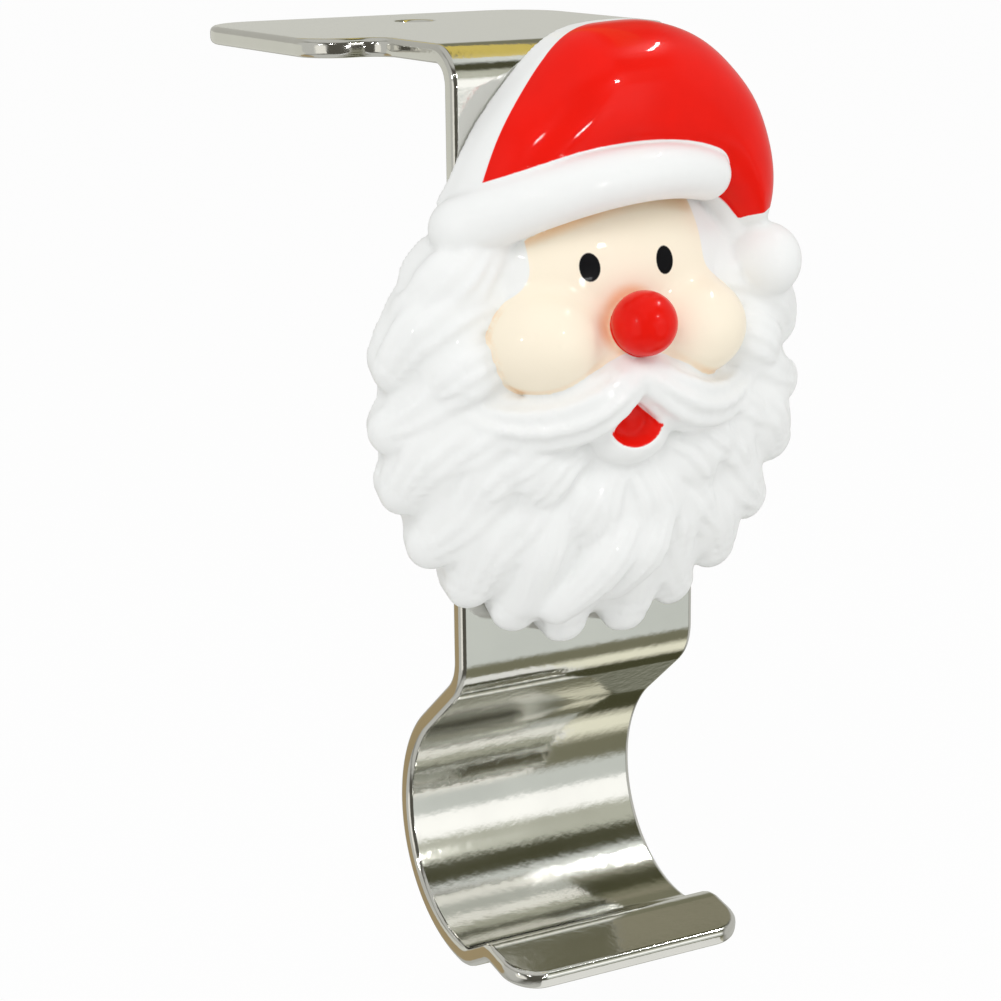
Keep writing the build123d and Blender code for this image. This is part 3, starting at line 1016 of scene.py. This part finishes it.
class HOLDER_OT_mould_head(bpy.types.Operator):
    """Mould the bearded head from its forms and paint it"""

    bl_idname = "holder.mould_head"
    bl_label = "Mould and paint the head"

    def execute(self, context):
        settings = context.scene.holder_head
        low = np.array(HEAD_LOW) / MM
        high = np.array(HEAD_HIGH) / MM
        clay = Clay(low - BLOCK_MARGIN, high + BLOCK_MARGIN, settings.cell)
        forms = head_forms(clay, settings)
        whole = whole_head(clay, forms)
        places, quads = clay.surface(whole)
        places = np.clip(settled(clay, whole, places), low, high)
        values = paint_distances(clay, forms, places)
        # painted crease shade, stored on the points beside the paint
        values["crease_shade"] = crease_shade_shares(clay, whole, places)
        mesh = bpy.data.meshes.new("moulded_head")
        mesh.from_pydata((places * MM).tolist(), [], quads.tolist())
        mesh.validate()
        mesh.shade_smooth()
        for name, value in values.items():
            layer = mesh.attributes.new(name, "FLOAT", "POINT")
            layer.data.foreach_set("value", value.astype(np.float32))
        mesh.materials.append(painted_material(settings))
        head = add_object("moulded_head", mesh)
        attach(head, "root")
        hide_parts("figure_head")
        return {"FINISHED"}


# Stage

def camera_turn(settings):
    """Rotation of a camera that looks along +Y, turned right, tipped down and rolled."""
    yaw, pitch, roll = settings.yaw, settings.pitch, settings.roll
    ahead = Vector((math.sin(yaw) * math.cos(pitch), math.cos(yaw) * math.cos(pitch), -math.sin(pitch)))
    right = Vector((math.cos(yaw), -math.sin(yaw), 0))
    down = ahead.cross(right)
    rolled_right = math.cos(roll) * right + math.sin(roll) * down
    rolled_down = math.cos(roll) * down - math.sin(roll) * right
    return Matrix((rolled_right, -rolled_down, -ahead)).transposed().to_4x4()


def room_bands(tree, way, parts):
    """Tones of the studio in bands round the x axis, a little unsteady."""
    angle = reckon(tree, "ARCTAN2", parts["Z"], parts["Y"])
    turns = reckon(tree, "DIVIDE", angle, 2 * math.pi)
    stir = cloudy(tree, way, scale=5.0, detail=2.0)
    sway = ranged(tree, stir, after=(1 - ROOM_SWAY, 1 + ROOM_SWAY))
    swayed = reckon(tree, "ADD", turns, sway)
    share = reckon(tree, "FRACT", swayed)
    stops = [(degrees / 360, opaque(ROOM_TONES[tone])) for degrees, tone in ROOM_BANDS]
    return banded(tree, share, stops)


def room_walls(tree, way, parts):
    """Room beside the bands: dark in front, lighter behind, and pale far to the sides, above and below."""
    depth = ranged(tree, parts["Y"], before=ROOM_DEPTH, smooth=True)
    corners = mixed(tree, depth, opaque(ROOM_DARK), opaque(ROOM_BACK))
    size = reckon(tree, "ABSOLUTE", way, kind="ShaderNodeVectorMath")
    sizes = new_node(tree, "ShaderNodeSeparateXYZ", Vector=size).outputs
    wider = reckon(tree, "MAXIMUM", sizes["X"], sizes["Z"])
    reach = ranged(tree, wider, before=ROOM_REACH, smooth=True)
    return mixed(tree, reach, corners, opaque(ROOM_WALLS))


def white_room(scene, settings):
    """World that lights evenly, shows white to the camera, and mirrors as a studio in the gloss."""
    world = bpy.data.worlds.new("white_room")
    scene.world = world
    world.use_nodes = True
    tree = world.node_tree
    way = new_node(tree, "ShaderNodeTexCoord").outputs["Generated"]
    parts = new_node(tree, "ShaderNodeSeparateXYZ", Vector=way).outputs
    entering, leaving = ROOM_SIDE
    enter = ranged(tree, parts["X"], before=entering, smooth=True)
    leave = ranged(tree, parts["X"], before=leaving[::-1], smooth=True)
    inside = reckon(tree, "MULTIPLY", enter, leave)
    walls = room_walls(tree, way, parts)
    mirrored_room = mixed(tree, inside, walls, room_bands(tree, way, parts))
    ray = new_node(tree, "ShaderNodeLightPath").outputs
    even = mixed(tree, ray["Is Glossy Ray"], opaque((settings.even_light,) * 3), mirrored_room)
    seen = reckon(tree, "MAXIMUM", ray["Is Camera Ray"], ray["Is Transmission Ray"])
    whole = mixed(tree, seen, even, (1, 1, 1, 1))
    set_up(tree, tree.nodes["Background"], Color=whole)
    arrange(tree)


def light_material(name):
    """New material without a shader yet, with its tree and the input that takes one."""
    material, tree = node_material(name)
    tree.nodes.remove(tree.nodes["Principled BSDF"])
    return material, tree, tree.nodes["Material Output"].inputs["Surface"]


def floor_material():
    """Pale floor that shows almost white to the camera and keeps the shadow."""
    material, tree, surface = light_material("pale_floor")
    matt = new_node(tree, "ShaderNodeBsdfDiffuse", Color=opaque(FLOOR_COLOUR))
    glow = new_node(tree, "ShaderNodeEmission", Color=(1, 1, 1, 1), Strength=1.0)
    ray = new_node(tree, "ShaderNodeLightPath").outputs
    seen = reckon(tree, "MULTIPLY", ray["Is Camera Ray"], FLOOR_GLOW)
    both = new_node(tree, "ShaderNodeMixShader")
    for socket, source in zip(both.inputs, (seen, matt.outputs[0], glow.outputs[0])):
        fill(tree, socket, source)
    fill(tree, surface, both.outputs[0])
    arrange(tree)
    return material


def flat_board(name, corners, material):
    """Object of one flat face."""
    mesh = bpy.data.meshes.new(name)
    mesh.from_pydata(corners, [], [(0, 1, 2, 3)])
    mesh.materials.append(material)
    return add_object(name, mesh)


def card(name, centre, size, facing, colour, strength=1.0):
    """Studio card that only shows in reflections."""
    turn = Vector(facing).to_track_quat("Z", "Y").to_matrix()
    half_w, half_h = size[0] / 2, size[1] / 2
    corners = [turn @ Vector((x * half_w, y * half_h, 0)) + Vector(centre) for x, y in SQUARE]
    material, tree, surface = light_material(name)
    glow = new_node(tree, "ShaderNodeEmission", Color=opaque(colour), Strength=strength)
    fill(tree, surface, glow.outputs[0])
    arrange(tree)
    board = flat_board(name, corners, material)
    board.visible_camera = False
    board.visible_diffuse = False
    board.visible_shadow = False


def lamp(name, place, size, power):
    """Area lamp that looks at the holder."""
    data = bpy.data.lights.new(name, "AREA")
    data.shape = "RECTANGLE"
    data.size, data.size_y = size
    data.energy = power
    made = add_object(name, data)
    made.location = place
    made.rotation_euler = (Vector(LAMP_TARGET) - Vector(place)).to_track_quat("-Z", "Y").to_euler()
    made.visible_glossy = False


class HOLDER_OT_set_stage(bpy.types.Operator):
    """Set the floor, the lamps, the cards and the camera"""

    bl_idname = "holder.set_stage"
    bl_label = "Set the stage"

    def execute(self, context):
        scene = context.scene
        settings = scene.holder_stage
        scene.view_settings.view_transform = "Standard"
        white_room(scene, settings)
        corners = [(x * FLOOR_HALF, y * FLOOR_HALF, settings.floor) for x, y in SQUARE]
        floor = flat_board("floor", corners, floor_material())
        floor.visible_glossy = False
        for name, centre, size, facing, colour in STUDIO_CARDS:
            card(name, centre, size, facing, colour)
        for number, angles in enumerate(GLINT_LAMPS, 1):
            right, up, width, height = (math.radians(angle) for angle in angles)
            way = Vector((math.sin(right) * math.cos(up), -math.cos(right) * math.cos(up), math.sin(up)))
            centre = Vector(GLINT_FROM) + way
            card(f"glint_lamp_{number}", centre, (width, height), -way, (1, 1, 1), settings.glint)
        for name, place, size, share in LAMPS:
            lamp(name, place, size, settings.lamp * share)
        data = bpy.data.cameras.new("camera")
        data.sensor_width = SENSOR_MM
        data.lens = settings.focal_pixels / IMAGE_PIXELS * SENSOR_MM
        data.clip_start = 0.01
        camera = add_object("camera", data)
        camera.matrix_world = Matrix.Translation(settings.place) @ camera_turn(settings)
        scene.camera = camera
        return {"FINISHED"}


class HOLDER_PT_panel(bpy.types.Panel):
    """The holder's steps and sizes"""

    bl_idname = "HOLDER_PT_panel"
    bl_label = "Stocking holder"
    bl_space_type = "VIEW_3D"
    bl_region_type = "UI"
    bl_category = "Holder"

    def draw(self, context):
        for step in (HOLDER_OT_bend_strip, HOLDER_OT_mould_head, HOLDER_OT_set_stage):
            self.layout.operator(step.bl_idname)
        for group in (context.scene.holder_strip, context.scene.holder_head, context.scene.holder_stage):
            box = self.layout.box()
            for name in group.bl_rna.properties.keys():
                if name not in ("rna_type", "name"):
                    box.prop(group, name)


CLASSES = (StripSettings, HeadSettings, StageSettings, HOLDER_OT_bend_strip, HOLDER_OT_mould_head,
           HOLDER_OT_set_stage, HOLDER_PT_panel)


def register():
    """Registers the classes and hangs the settings on the scene."""
    for item in CLASSES:
        bpy.utils.register_class(item)
    bpy.types.Scene.holder_strip = PointerProperty(type=StripSettings)
    bpy.types.Scene.holder_head = PointerProperty(type=HeadSettings)
    bpy.types.Scene.holder_stage = PointerProperty(type=StageSettings)


def unregister():
    """Takes the settings and the classes away again."""
    del bpy.types.Scene.holder_stage
    del bpy.types.Scene.holder_head
    del bpy.types.Scene.holder_strip
    for item in reversed(CLASSES):
        bpy.utils.unregister_class(item)


def main():
    """Builds the holder and its stage."""
    register()
    bpy.ops.holder.bend_strip()
    bpy.ops.holder.mould_head()
    bpy.ops.holder.set_stage()


if __name__ == "__main__":
    main()
